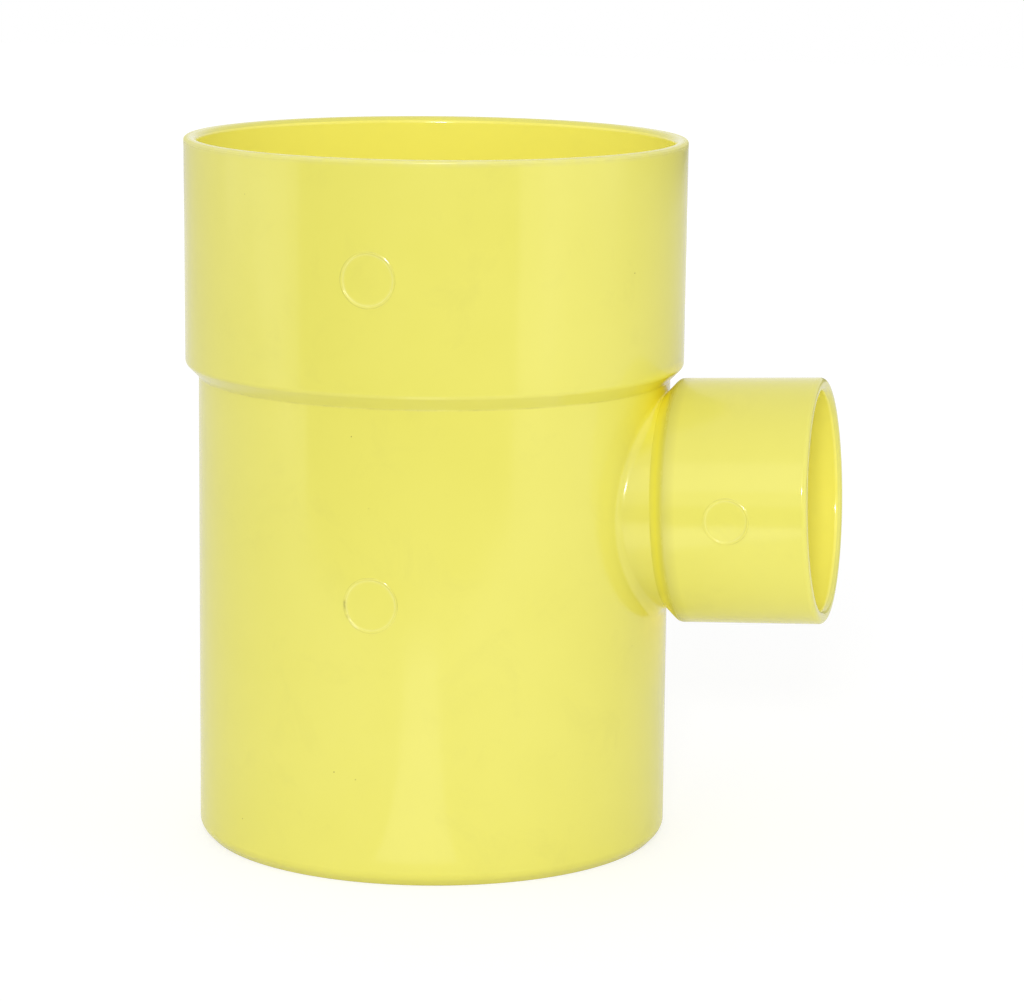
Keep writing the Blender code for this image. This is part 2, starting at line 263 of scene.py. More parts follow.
class Window:
    """Part of a wall left open for another shape, by its rows and columns."""

    def __init__(self, top, bottom, middle, half):
        self.top = top
        self.bottom = bottom
        self.middle = middle
        self.half = half

    def holds_point(self, row, offset):
        """True strictly inside the window."""
        low, high = sorted((self.top, self.bottom))
        return low < row < high and abs(offset) < self.half

    def holds_cell(self, row, offset):
        """True for a cell of wall between this row and column and the next ones."""
        low, high = sorted((self.top, self.bottom))
        return low <= row < high and -self.half <= offset < self.half

    def edge(self):
        """Rows and column offsets round the window, from the middle of its top by the low side."""
        step = 1 if self.bottom > self.top else -1
        half = self.half
        spots = [(self.top, -column) for column in range(half)]
        spots += [(row, -half) for row in range(self.top, self.bottom, step)]
        spots += [(self.bottom, column) for column in range(-half, half)]
        spots += [(row, half) for row in range(self.bottom, self.top, -step)]
        spots += [(self.top, column) for column in range(half, 0, -1)]
        return spots


def wall(bm, place, segments, profile, windows, closed):
    """Wall of revolution through a profile, open at its windows; returns its points by row and column."""
    turn = 2 * math.pi / segments

    def offset(column, window):
        return (column - window.middle + segments // 2) % segments - segments // 2

    grid = []
    for row, (radius, level) in enumerate(profile):
        line = []
        for column in range(segments):
            hidden = any(w.holds_point(row, offset(column, w)) for w in windows)
            line.append(None if hidden else bm.verts.new(place(radius, column * turn, level)))
        grid.append(line)
    for row in range(len(profile) if closed else len(profile) - 1):
        below = grid[row]
        above = grid[(row + 1) % len(profile)]
        for column in range(segments):
            if any(w.holds_cell(row, offset(column, w)) for w in windows):
                continue
            after = (column + 1) % segments
            bm.faces.new((below[column], below[after], above[after], above[column]))
    return grid


def fill_toward(bm, grid, window, profile, segments, lift, spots):
    """Rings of wall from a window's edge in to a loop of (angle, level) spots; returns the last loop."""
    turn = 2 * math.pi / segments
    edge = window.edge()
    loop = [grid[row][(window.middle + column) % segments] for row, column in edge]
    for ring in range(1, PATCH_RINGS + 1):
        share = ring / PATCH_RINGS
        points = []
        for (row, column), (angle, level) in zip(edge, spots):
            start_angle = (window.middle + column) * turn
            start_level = profile[row][1]
            points.append(lift(start_angle + (angle - start_angle) * share,
                               start_level + (level - start_level) * share, 0.0))
        loop = stack(bm, loop, [points])
    return loop


def insert_mark(bm, grid, window, profile, segments, lift, radius, angle, level, wall_radius):
    """Shallow round recess with the fine raised line that the insert leaves round it."""
    count = len(window.edge())
    turns = [2 * math.pi * i / count for i in range(count)]

    def ring(reach, rise):
        return [lift(angle - reach * math.sin(t) / wall_radius, level + reach * math.cos(t), rise)
                for t in turns]

    outer = radius + MARK_EDGE[0][0] * MM
    spots = [(angle - outer * math.sin(t) / wall_radius, level + outer * math.cos(t)) for t in turns]
    loop = fill_toward(bm, grid, window, profile, segments, lift, spots)
    rings = [ring(radius + away * MM, rise * MM) for away, rise in MARK_EDGE[1:]]
    floor = radius + MARK_EDGE[-1][0] * MM
    depth = MARK_EDGE[-1][1] * MM
    rings += [ring(floor * i / MARK_FLOOR_RINGS, depth) for i in range(MARK_FLOOR_RINGS - 1, 0, -1)]
    loop = stack(bm, loop, rings)
    middle = bm.verts.new(lift(angle, level, depth))
    for i in range(count):
        bm.faces.new((loop[i], loop[(i + 1) % count], middle))


def ball_centre(run_radius, branch_radius, ball, angle):
    """Centre of a ball that touches the run and the branch at once."""
    spread = branch_radius + ball
    sideways = spread * math.sin(angle)
    forward = math.sqrt((run_radius + ball) ** 2 - sideways ** 2)
    distance = (forward + spread * math.cos(angle) * OUT.z) / OUT.x
    return on_branch(spread, angle, distance), distance


def ball_that_fits(run_radius, branch_radius, ball, angle, limit):
    """Largest ball up to the given one that meets the branch before the limit."""
    if ball_centre(run_radius, branch_radius, ball, angle)[1] <= limit:
        return ball
    small = 0.0
    large = ball
    for _ in range(HALVINGS):
        middle = (small + large) / 2
        if ball_centre(run_radius, branch_radius, middle, angle)[1] <= limit:
            small = middle
        else:
            large = middle
    return max(small, SMALLEST_BALL)


def blend_row(run_radius, branch_radius, ball, angle, limit):
    """Points over the rolled blend at one angle, from the run to the branch."""
    fitted = ball_that_fits(run_radius, branch_radius, ball, angle, limit)
    centre, distance = ball_centre(run_radius, branch_radius, fitted, angle)
    to_branch = (on_branch(0.0, 0.0, distance) - centre).normalized()
    to_run = Vector((RUN_AXIS_X - centre.x, -centre.y, 0.0)).normalized()
    return [centre + to_run.slerp(to_branch, step / BLEND_STEPS) * fitted
            for step in range(BLEND_STEPS + 1)]


def branch_opening(bm, grid, window, profile, run_radius, branch_radius, ball, limit):
    """Wall round the branch and the blend up to it; returns the loop where the branch starts."""
    rows = [blend_row(run_radius, branch_radius, ball, 2 * math.pi * i / BRANCH_SEGMENTS, limit)
            for i in range(BRANCH_SEGMENTS)]
    spots = [(math.atan2(row[0].y, row[0].x - RUN_AXIS_X), row[0].z) for row in rows]
    loop = fill_toward(bm, grid, window, profile, RUN_SEGMENTS,
                       lambda angle, level, rise: on_run(run_radius + rise, angle, level), spots)
    return stack(bm, loop, [[row[step] for row in rows] for step in range(1, BLEND_STEPS + 1)])


def window_half(run_radius, branch_radius, ball):
    """Columns on each side that a branch opening needs."""
    reach = math.asin((branch_radius + ball) / run_radius) + WINDOW_MARGIN / run_radius
    return math.ceil(reach * RUN_SEGMENTS / (2 * math.pi))


def row_at(profile, spot):
    """Row of a profile that was put there by a straight stretch."""
    return profile.index((spot[0], spot[1]))


def bore_bounce_share(point):
    """One in the bores, where painted bounce light makes the yellow brighter and deeper, and zero elsewhere.
    """
    off_run, height, off_branch, along = profile_spot(point)
    bores = ((off_run, RUN_BORE_RADIUS, height, SPIGOT_EDGE, RUN_HEIGHT),
             (off_run, RUN_MOUTH_BORE, height, RUN_STOP - BORE_LIGHT_EDGE, RUN_HEIGHT - BORE_LIGHT_TOP),
             (off_branch, NECK_BORE_RADIUS, along, 0.0, BRANCH_REACH),
             (off_branch, BRANCH_MOUTH_BORE, along, BRANCH_STOP - BORE_LIGHT_EDGE, BRANCH_REACH - BORE_LIGHT_TOP))
    inside = any(off < bore + BORE_LIGHT_EDGE and low < level < high for off, bore, level, low, high in bores)
    return 1.0 if inside else 0.0


def softened(share):
    """A share from zero to one with soft ends."""
    share = min(max(share, 0.0), 1.0)
    return share * share * (3.0 - 2.0 * share)


def crease_bounce_share(point):
    """Toward one in the creases round the neck, where painted bounce light stands in for the light that the
    walls beside them throw in.
    """
    off_run, height, off_branch, along = profile_spot(point)
    radius, level, reach, strength = BRANCH_CREASE
    share = softened(1.0 - math.hypot(off_branch - radius, along - level) / reach) * strength
    in_bore = off_run < BARREL_RADIUS - CREASE_ROW or off_branch < NECK_RADIUS - CREASE_ROW
    on_socket = height > SHOULDER_TOP + CREASE_ROW and off_run > BARREL_RADIUS
    on_outlet = off_branch - NECK_RADIUS < along - BRANCH_SHOULDER_BASE + CREASE_ROW
    past_crease = on_outlet and along > BRANCH_SHOULDER_BASE + CREASE_END
    if in_bore or on_socket or past_crease:
        return share
    return max(share, *[softened(1.0 - (point - middle).length / size) for middle, size in CREASES])


def profile_spot(point):
    """Distance off the run's axis and height, then distance off the branch's axis and along it."""
    from_root = point - ROOT
    along = from_root.dot(OUT)
    return math.hypot(point.x - RUN_AXIS_X, point.y), point.z, (from_root - OUT * along).length, along


def ring_share(point, run_rings, mark_edge):
    """How near a point is to one of the run's rings or to a mark's edge, from zero to one."""
    off_run, height = profile_spot(point)[:2]
    shares = [(1.0 - math.hypot(off_run - radius, height - level) / reach) * strength
              for radius, level, reach, strength in run_rings]
    offset, reach, strength = mark_edge
    shares += [(1.0 - abs((point - middle).length - radius - offset) / reach) * strength
               for middle, radius in MARKS]
    return min(max(0.0, *shares), 1.0)


def spot_share(point, spots):
    """How near a point on a mark's edge is to one of these spots."""
    off_edge = min(abs((point - middle).length - radius) for middle, radius in MARKS)
    near = max(softened(1.0 - (point - place).length / reach) * strength
               for place, reach, strength in spots)
    return softened(1.0 - off_edge / SPOT_BAND) * near


def rubbed_share(point):
    """One where storage has scuffed the rim, less where the inserts leave the plastic pale."""
    return max(ring_share(point, RUN_RUBBED, MARK_RUBBED), spot_share(point, RUBBED_SPOTS))


def dark_patch_share(point):
    """Toward one in darker patches along the shoulder's foot, just under the rim's round and just outside
    each mark's lip, and at grime spots on the low mark's edge; the patches fade out near the gap over the
    neck.
    """
    clear = min((point - CREASES[0][0]).length / DARK_PATCH_STOPS, 1.0)
    return max(ring_share(point, RUN_DARK_PATCHES, MARK_DARK_PATCH) * clear, spot_share(point, GRIMED_SPOTS))


def shade_and_bloom_share(point):
    """Toward one where the branch's shoulder and neck get painted shade and an even, rougher bloom."""
    off_branch, along = profile_spot(point)[2:]
    return max(0.0, *[(1.0 - math.hypot(off_branch - radius, along - level) / reach) * strength
                      for radius, level, reach, strength in BRANCH_SHADE_AND_BLOOM])


def tee_mesh():
    """The whole wall of the tee as one closed skin."""
    def socket_radius(height):
        share = (height - SHOULDER_TOP) / RUN_SOCKET_LENGTH
        return RUN_SHOULDER_OUTSIDE + (RUN_MOUTH_OUTSIDE - RUN_SHOULDER_OUTSIDE) * share

    def branch_socket_radius(distance):
        share = (distance - BRANCH_SHOULDER_TOP) / BRANCH_SOCKET_LENGTH
        return BRANCH_SHOULDER_OUTSIDE + (BRANCH_MOUTH_OUTSIDE - BRANCH_SHOULDER_OUTSIDE) * share

    # Rows of the run where its windows are
    outer_half = window_half(BARREL_RADIUS, NECK_RADIUS, SADDLE_BLEND)
    inner_half = window_half(RUN_BORE_RADIUS, NECK_BORE_RADIUS, BORE_EDGE_ROUND)
    shoulder_setback = SHOULDER_CORNER * HALF_CORNER + SHOULDER_MARGIN
    barrel_rows = straight((BARREL_RADIUS, SPIGOT_LENGTH - SADDLE_BLEND - WINDOW_MARGIN),
                           (BARREL_RADIUS, SHOULDER_BASE - shoulder_setback),
                           BRANCH_SEGMENTS // 2 - 2 * outer_half)
    low = SOCKET_MARK_HEIGHT - RUN_MARK_WINDOW / 2
    high = SOCKET_MARK_HEIGHT + RUN_MARK_WINDOW / 2
    socket_rows = straight((socket_radius(low), low), (socket_radius(high), high), RUN_MARK_ROWS)
    hole_middle = BRANCH_ROOT + RUN_BORE_RADIUS * math.tan(BRANCH_RISE)
    hole_reach = NECK_BORE_RADIUS / OUT.x + BORE_EDGE_ROUND + WINDOW_MARGIN
    bore_rows = straight((RUN_BORE_RADIUS, min(hole_middle + hole_reach, RUN_STOP - LEDGE_MARGIN)),
                         (RUN_BORE_RADIUS, hole_middle - hole_reach),
                         BRANCH_SEGMENTS // 2 - 2 * inner_half)
    run_profile = eased([
        (BARREL_RADIUS - SPIGOT_CHAMFER, 0.0, SPIGOT_EDGE),
        (BARREL_RADIUS, SPIGOT_CHAMFER, CHAMFER_EDGE),
        (BARREL_RADIUS, SPIGOT_LENGTH - FOOT_CREASE, 0.0),
        *barrel_rows,
        (BARREL_RADIUS, SHOULDER_BASE, SHOULDER_CORNER),
        (RUN_SHOULDER_OUTSIDE, SHOULDER_TOP, SHOULDER_EDGE),
        (socket_radius(SHOULDER_TOP + SOCKET_ROW), SHOULDER_TOP + SOCKET_ROW, 0.0),
        *socket_rows,
        (socket_radius(RUN_HEIGHT - RIM_ROW), RUN_HEIGHT - RIM_ROW, 0.0),
        (RUN_MOUTH_OUTSIDE, RUN_HEIGHT, RUN_RIM_EDGE),
        (RUN_MOUTH_BORE, RUN_HEIGHT, LEAD_IN_ROUND),
        (RUN_STOP_BORE, RUN_STOP, STOP_ROUND),
        (RUN_BORE_RADIUS, RUN_STOP, STOP_ROUND),
        *bore_rows,
        (RUN_BORE_RADIUS, 0.0, SPIGOT_EDGE),
    ])
    barrel_bottom = row_at(run_profile, barrel_rows[0])
    barrel_top = row_at(run_profile, barrel_rows[-1])
    socket_low = row_at(run_profile, socket_rows[0])
    bore_top = row_at(run_profile, bore_rows[0])
    bore_bottom = row_at(run_profile, bore_rows[-1])
    row_height = barrel_rows[1][1] - barrel_rows[0][1]
    mark_foot = BARREL_MARK_HEIGHT - RUN_MARK_WINDOW / 2
    mark_low = barrel_bottom + round((mark_foot - barrel_rows[0][1]) / row_height)
    facing_column = RUN_SEGMENTS * 3 // 4
    outer_window = Window(barrel_top, barrel_bottom, 0, outer_half)
    inner_window = Window(bore_top, bore_bottom, 0, inner_half)
    barrel_mark = Window(mark_low + RUN_MARK_ROWS, mark_low, facing_column, MARK_HALF_COLUMNS)
    socket_mark = Window(socket_low + RUN_MARK_ROWS, socket_low, facing_column, MARK_HALF_COLUMNS)

    bm = bmesh.new()
    run = wall(bm, on_run, RUN_SEGMENTS, run_profile,
               [outer_window, inner_window, barrel_mark, socket_mark], closed=True)
    insert_mark(bm, run, barrel_mark, run_profile, RUN_SEGMENTS,
                lambda angle, level, rise: on_run(BARREL_RADIUS + rise, angle, level),
                RUN_MARK_RADIUS, MARK_ANGLE, BARREL_MARK_HEIGHT, BARREL_RADIUS)
    insert_mark(bm, run, socket_mark, run_profile, RUN_SEGMENTS,
                lambda angle, level, rise: on_run(socket_radius(level) + rise, angle, level),
                RUN_MARK_RADIUS, MARK_ANGLE, SOCKET_MARK_HEIGHT, RUN_SHOULDER_OUTSIDE)

    # The blends, then the branch wall between them
    neck_setback = NECK_CORNER * HALF_CORNER + SHOULDER_MARGIN
    neck_loop = branch_opening(bm, run, outer_window, run_profile, BARREL_RADIUS, NECK_RADIUS,
                               SADDLE_BLEND, BRANCH_SHOULDER_BASE - neck_setback - SHOULDER_MARGIN)
    bore_loop = branch_opening(bm, run, inner_window, run_profile, RUN_BORE_RADIUS, NECK_BORE_RADIUS,
                               BORE_EDGE_ROUND, BRANCH_STOP - LEDGE_MARGIN)
    low = BRANCH_MARK_DISTANCE - BRANCH_MARK_WINDOW / 2
    high = BRANCH_MARK_DISTANCE + BRANCH_MARK_WINDOW / 2
    outlet_rows = straight((branch_socket_radius(low), low), (branch_socket_radius(high), high),
                           BRANCH_MARK_ROWS)
    branch_profile = eased([
        (NECK_RADIUS, BRANCH_SHOULDER_BASE - neck_setback, 0.0),
        (NECK_RADIUS, BRANCH_SHOULDER_BASE, NECK_CORNER),
        *straight((NECK_RADIUS + CREASE_ROW, BRANCH_SHOULDER_BASE + CREASE_ROW),
                  (NECK_RADIUS + 2 * CREASE_ROW, BRANCH_SHOULDER_BASE + 2 * CREASE_ROW), 1),
        (BRANCH_SHOULDER_OUTSIDE, BRANCH_SHOULDER_TOP, OUTLET_EDGE),
        (branch_socket_radius(BRANCH_SHOULDER_TOP + OUTLET_ROW), BRANCH_SHOULDER_TOP + OUTLET_ROW, 0.0),
        *outlet_rows,
        (BRANCH_MOUTH_OUTSIDE, BRANCH_REACH, OUTLET_RIM_EDGE),
        (BRANCH_MOUTH_BORE, BRANCH_REACH, LEAD_IN_ROUND),
        (BRANCH_STOP_BORE, BRANCH_STOP, STOP_ROUND),
        (NECK_BORE_RADIUS, BRANCH_STOP, STOP_ROUND),
        (NECK_BORE_RADIUS, BRANCH_STOP - STOP_ROUND - SHOULDER_MARGIN, 0.0),
    ])
    outlet_low = row_at(branch_profile, outlet_rows[0])
    branch_mark = Window(outlet_low + BRANCH_MARK_ROWS, outlet_low, BRANCH_SEGMENTS // 4, MARK_HALF_COLUMNS)
    branch = wall(bm, on_branch, BRANCH_SEGMENTS, branch_profile, [branch_mark], closed=False)
    insert_mark(bm, branch, branch_mark, branch_profile, BRANCH_SEGMENTS,
                lambda angle, level, rise: on_branch(branch_socket_radius(level) + rise, angle, level),
                BRANCH_MARK_RADIUS, math.pi / 2, BRANCH_MARK_DISTANCE, BRANCH_SHOULDER_OUTSIDE)
    skin_loops(bm, neck_loop, branch[0])
    skin_loops(bm, branch[-1], bore_loop)

    bmesh.ops.recalc_face_normals(bm, faces=bm.faces)
    mesh = bpy.data.meshes.new("tee")
    bm.to_mesh(mesh)
    bm.free()
    for name, share in (("bore_bounce_light", bore_bounce_share), ("crease_bounce_light", crease_bounce_share),
                        ("rubbed", rubbed_share), ("dark_patches", dark_patch_share), ("shade_and_bloom", shade_and_bloom_share)):
        layer = mesh.attributes.new(name, "FLOAT", "POINT")
        layer.data.foreach_set("value", [share(vertex.co) for vertex in mesh.vertices])
    mesh.shade_smooth()
    return mesh


# Colours as they are seen, in sRGB hex
UPVC_YELLOW = "E6E066"
UPVC_PALE = "E8E26A"
# Brighter, deeper yellow painted in the bores as bounce light
BORE_BOUNCE_YELLOW = "FCF46E"
# Brighter, deeper yellow painted in the creases round the neck as bounce light
CREASE_BOUNCE_YELLOW = "FFF33A"
PIGMENT_SPECK = "A2943C"
# Grey of the handling smears, also mixed in as painted shade on the branch's shoulder and neck
HANDLING_AND_SHADE_GREY = "90864E"
RUBBED_EDGE = "F4F0C8"
# Brown of the grime spots, and of the darker patches at the shoulder's foot, under the rim's round and round
# the marks
DARK_PATCH_BROWN = "7A6A38"
FLOOR_WHITE = "F6F6F6"
CARD_GREY = "A4A4A4"
WHITE = "FFFFFF"

# How the finish answers to light, and how strongly wear and the mould show in it
UPVC_IOR = 1.53
CARD_ROUGHNESS = 0.9
# The tint is painted shade on the branch's shoulder and neck
PAINTED_SHADE_TINT = 0.34
BLOOM_ROUGHNESS = 0.15
RUBBED_ROUGHNESS = 0.35
SPECK_CUT = 0.66
WAVE_DEPTH = 0.05 * MM
GRAIN_DEPTH = 0.004 * MM


def colour(code):
    """Linear colour from an sRGB hex value."""
    parts = [int(code[i:i + 2], 16) / 255 for i in (0, 2, 4)]
    return (*[p / 12.92 if p <= 0.04045 else ((p + 0.055) / 1.055) ** 2.4 for p in parts], 1.0)


def per_metre(size_in_mm):
    """Pattern scale whose features are about this many millimetres across."""
    return 1000.0 / size_in_mm


def add(tree, kind, sockets, **settings):
    """Adds a node with its settings; each socket takes a value or another node's output."""
    node = tree.nodes.new("ShaderNode" + kind)
    for name, value in settings.items():
        setattr(node, name, value)
    for name, value in sockets.items():
        if isinstance(value, bpy.types.NodeSocket):
            tree.links.new(value, node.inputs[name])
        else:
            node.inputs[name].default_value = value
    return node


def moulded_upvc():
    """Injection-moulded uPVC, self-coloured yellow.

    The mould's polish gives it an even satin gloss with soft-edged reflections. The melt
    leaves faint cloudy flow in the colour and a slow waviness in the wall. Painted bounce light
    makes the yellow brighter and deeper in the bores and in the creases round the neck. Storage
    leaves dull handling marks, a few specks, a scuffed rim and grime spots on the low mark's edge.
    Painted shade with a dull bloom lies on the branch's shoulder, and the shoulder's foot, the
    rim and the marks' lips are darker in patches.
    """
    material = bpy.data.materials.new("injection_moulded_upvc")
    material.use_nodes = True
    tree = material.node_tree
    surface = tree.nodes["Principled BSDF"]
    place = add(tree, "TexCoord", {}).outputs["Object"]

    flow = add(tree, "TexNoise", {"Vector": place, "Scale": per_metre(38.0), "Detail": 3.0,
                                  "Roughness": 0.55})
    clouds = add(tree, "MapRange", {"Value": flow.outputs[0], "From Min": 0.35, "From Max": 0.65,
                                    "To Min": 0.0, "To Max": 1.0})
    body = add(tree, "Mix", {0: clouds.outputs[0], 6: colour(UPVC_YELLOW), 7: colour(UPVC_PALE)},
               data_type="RGBA")

    handling = add(tree, "TexNoise", {"Vector": place, "Scale": per_metre(16.0), "Detail": 8.0,
                                      "Roughness": 0.65, "Distortion": 0.6})
    smears = add(tree, "MapRange", {"Value": handling.outputs[0], "From Min": 0.55, "From Max": 0.80,
                                    "To Min": 0.0, "To Max": 0.07})
    # Handling smears, then painted shade over the branch's shoulder and neck
    bloom_and_shade = add(tree, "Attribute", {}, attribute_name="shade_and_bloom")
    shade_and_smears = add(tree, "Math", {0: bloom_and_shade.outputs["Fac"], 1: PAINTED_SHADE_TINT, 2: smears.outputs[0]},
               operation="MULTIPLY_ADD")
    handled_and_shaded = add(tree, "Mix", {0: shade_and_smears.outputs[0], 6: body.outputs[2], 7: colour(HANDLING_AND_SHADE_GREY)},
                  data_type="RGBA")

    # Specks about 0.3 mm across, in one cell in six of 6 mm
    specks = add(tree, "TexVoronoi", {"Vector": place, "Scale": per_metre(6.0)})
    near = add(tree, "MapRange", {"Value": specks.outputs["Distance"], "From Min": 0.018,
                                  "From Max": 0.030, "To Min": 1.0, "To Max": 0.0})
    chosen = add(tree, "Math", {0: specks.outputs["Color"], 1: SPECK_CUT}, operation="GREATER_THAN")
    dots = add(tree, "Math", {0: near.outputs[0], 1: chosen.outputs[0]}, operation="MULTIPLY")
    speckled = add(tree, "Mix", {0: dots.outputs[0], 6: handled_and_shaded.outputs[2], 7: colour(PIGMENT_SPECK)},
                   data_type="RGBA")

    # Painted bounce light: a brighter, deeper yellow in the bores, then in the creases round the neck
    inside = add(tree, "Attribute", {}, attribute_name="bore_bounce_light")
    bore_lit = add(tree, "Mix", {0: inside.outputs["Fac"], 6: speckled.outputs[2],
                                7: colour(BORE_BOUNCE_YELLOW)}, data_type="RGBA")
    crease = add(tree, "Attribute", {}, attribute_name="crease_bounce_light")
    crease_lit = add(tree, "Mix", {0: crease.outputs["Fac"], 6: bore_lit.outputs[2],
                              7: colour(CREASE_BOUNCE_YELLOW)}, data_type="RGBA")

    # Rubbed rims and mark edges, then darker patches along the shoulder's foot, the rim and the marks' lips,
    # and grime spots on the low mark's edge
    patchy = add(tree, "TexNoise", {"Vector": place, "Scale": per_metre(5.0), "Detail": 5.0,
                                    "Roughness": 0.7})
    rubbed = add(tree, "Attribute", {}, attribute_name="rubbed")
    rubbing = add(tree, "MapRange", {"Value": patchy.outputs[0], "From Min": 0.30, "From Max": 0.65,
                                     "To Min": 0.10, "To Max": 0.35})
    paler = add(tree, "Math", {0: rubbed.outputs["Fac"], 1: rubbing.outputs[0]}, operation="MULTIPLY")
    rubbed_paint = add(tree, "Mix", {0: paler.outputs[0], 6: crease_lit.outputs[2],
                                     7: colour(RUBBED_EDGE)}, data_type="RGBA")
    dark_patches = add(tree, "Attribute", {}, attribute_name="dark_patches")
    patch_spread = add(tree, "MapRange", {"Value": patchy.outputs[0], "From Min": 0.40, "From Max": 0.62,
                                       "To Min": 0.10, "To Max": 0.70})
    patch_darkening = add(tree, "Math", {0: dark_patches.outputs["Fac"], 1: patch_spread.outputs[0]}, operation="MULTIPLY")
    finished = add(tree, "Mix", {0: patch_darkening.outputs[0], 6: rubbed_paint.outputs[2],
                                 7: colour(DARK_PATCH_BROWN)}, data_type="RGBA")
    tree.links.new(finished.outputs[2], surface.inputs["Base Color"])

    # Polish, duller where the rim is scuffed and where the rougher bloom lies under the painted shade
    gloss = add(tree, "MapRange", {"Value": handling.outputs[0], "From Min": 0.35, "From Max": 0.75,
                                   "To Min": 0.11, "To Max": 0.18})
    scuffed = add(tree, "MapRange", {"Value": rubbed.outputs["Fac"], "To Min": 0.0,
                                     "To Max": RUBBED_ROUGHNESS})
    worn = add(tree, "Math", {0: gloss.outputs[0], 1: scuffed.outputs[0]}, operation="ADD")
    finish = add(tree, "Math", {0: bloom_and_shade.outputs["Fac"], 1: BLOOM_ROUGHNESS, 2: worn.outputs[0]},
                 operation="MULTIPLY_ADD")
    tree.links.new(finish.outputs[0], surface.inputs["Roughness"])
    surface.inputs["IOR"].default_value = UPVC_IOR

    # Slow waviness of the wall, then the grain of the mould's polish, drawn
    # at 0.8 mm and so coarser than the real one, because that would not show
    waves = add(tree, "TexNoise", {"Vector": place, "Scale": per_metre(24.0), "Detail": 1.0})
    wavy = add(tree, "Bump", {"Height": waves.outputs[0], "Strength": 1.0, "Distance": WAVE_DEPTH})
    grain = add(tree, "TexNoise", {"Vector": place, "Scale": per_metre(0.8), "Detail": 2.0})
    grainy = add(tree, "Bump", {"Height": grain.outputs[0], "Strength": 1.0, "Distance": GRAIN_DEPTH,
                                "Normal": wavy.outputs[0]})
    tree.links.new(grainy.outputs[0], surface.inputs["Normal"])
    return material


def seen_share(tree, by_eye, by_mirror):
    """How much of the backdrop's white shows: to the camera, and in a reflection or transparent part."""
    path = add(tree, "LightPath", {})
    mirrored = add(tree, "Math", {0: path.outputs["Is Glossy Ray"], 1: path.outputs["Is Transmission Ray"]},
                   operation="MAXIMUM")
    in_mirror = add(tree, "Math", {0: mirrored.outputs[0], 1: by_mirror}, operation="MULTIPLY")
    to_eye = add(tree, "Math", {0: path.outputs["Is Camera Ray"], 1: by_eye}, operation="MULTIPLY")
    return add(tree, "Math", {0: in_mirror.outputs[0], 1: to_eye.outputs[0]}, operation="MAXIMUM").outputs[0]


def white_floor():
    """Matt white paper sweep; it keeps the tee's shadow and is white to the eye elsewhere."""
    material = bpy.data.materials.new("white_paper")
    material.use_nodes = True
    tree = material.node_tree
    tree.nodes.remove(tree.nodes["Principled BSDF"])
    paper = add(tree, "BsdfDiffuse", {"Color": colour(FLOOR_WHITE)})
    place = add(tree, "TexCoord", {})
    away = add(tree, "VectorMath", {0: place.outputs["Object"]}, operation="LENGTH")
    level = add(tree, "MapRange", {"Value": away.outputs["Value"], "From Min": SHADOW_REACH,
                                   "From Max": FLOOR_BACK, "To Min": NEAR_GLOW, "To Max": FAR_GLOW})
    glow = add(tree, "Emission", {"Color": colour(WHITE), "Strength": level.outputs[0]})
    share = seen_share(tree, PAPER_LIFT, MIRROR_LIFT)
    mixed = add(tree, "MixShader", {0: share, 1: paper.outputs[0], 2: glow.outputs[0]})
    tree.links.new(mixed.outputs[0], tree.nodes["Material Output"].inputs["Surface"])
    return material


def bright_sheet():
    """Bright sheet in front, which only the low barrel's gloss picks up."""
    material = bpy.data.materials.new("bright_sheet")
    material.use_nodes = True
    tree = material.node_tree
    tree.nodes.remove(tree.nodes["Principled BSDF"])
    glow = add(tree, "Emission", {"Color": colour(WHITE), "Strength": SHEET_GLOW})
    tree.links.new(glow.outputs[0], tree.nodes["Material Output"].inputs["Surface"])
    return material


def grey_card():
    """Matt grey card, which the tee mirrors as the unlit side of the room."""
    material = bpy.data.materials.new("grey_card")
    material.use_nodes = True
    surface = material.node_tree.nodes["Principled BSDF"]
    surface.inputs["Base Color"].default_value = colour(CARD_GREY)
    surface.inputs["Roughness"].default_value = CARD_ROUGHNESS
    return material


# Camera, from the outline of the tee in the frame
CAMERA_PLACE = Vector((201.14, -873.90, 244.36)) * MM
CAMERA_TURN = math.radians(12.896)
CAMERA_TILT = math.radians(10.421)
CAMERA_ROLL = math.radians(0.578)
CAMERA_LENS = 137.0
SENSOR_WIDTH = 36.0
CLIP_START = 0.05
CAMERA_BEARING = math.degrees(math.atan2(CAMERA_PLACE.y, CAMERA_PLACE.x - RUN_AXIS_X))

# White of the floor and the room: how much is added to the paper for the eye and for a
# reflection, how bright it is from the shadow outward, and the plain fill light
PAPER_LIFT = 0.6
MIRROR_LIFT = 0.15
NEAR_GLOW = 1.16
FAR_GLOW = 1.5
SHADOW_REACH = 0.25
FILL_LEVEL = 0.66

# Floor, then the cards that the tee mirrors as (name, first bearing, last bearing, distance, top),
# and the corners of the bright sheet as (bearing, distance)
FLOOR_GAP = 0.05 * MM
FLOOR_FRONT = -0.33
FLOOR_BACK = 2.6
FLOOR_SIDE = 1.6
CARD_FOOT = -1.2
CARDS = (("front_card", -63.0, 37.0, 1.6, 0.15),
         ("right_card", 95.0, 168.0, 1.9, 0.25))
SHEET_GLOW = 1.6
SHEET_LIFT = 0.4 * MM
SHEET_CORNERS = ((-18.0, 0.075), (8.0, 0.075), (2.0, 0.3), (-12.0, 0.3))

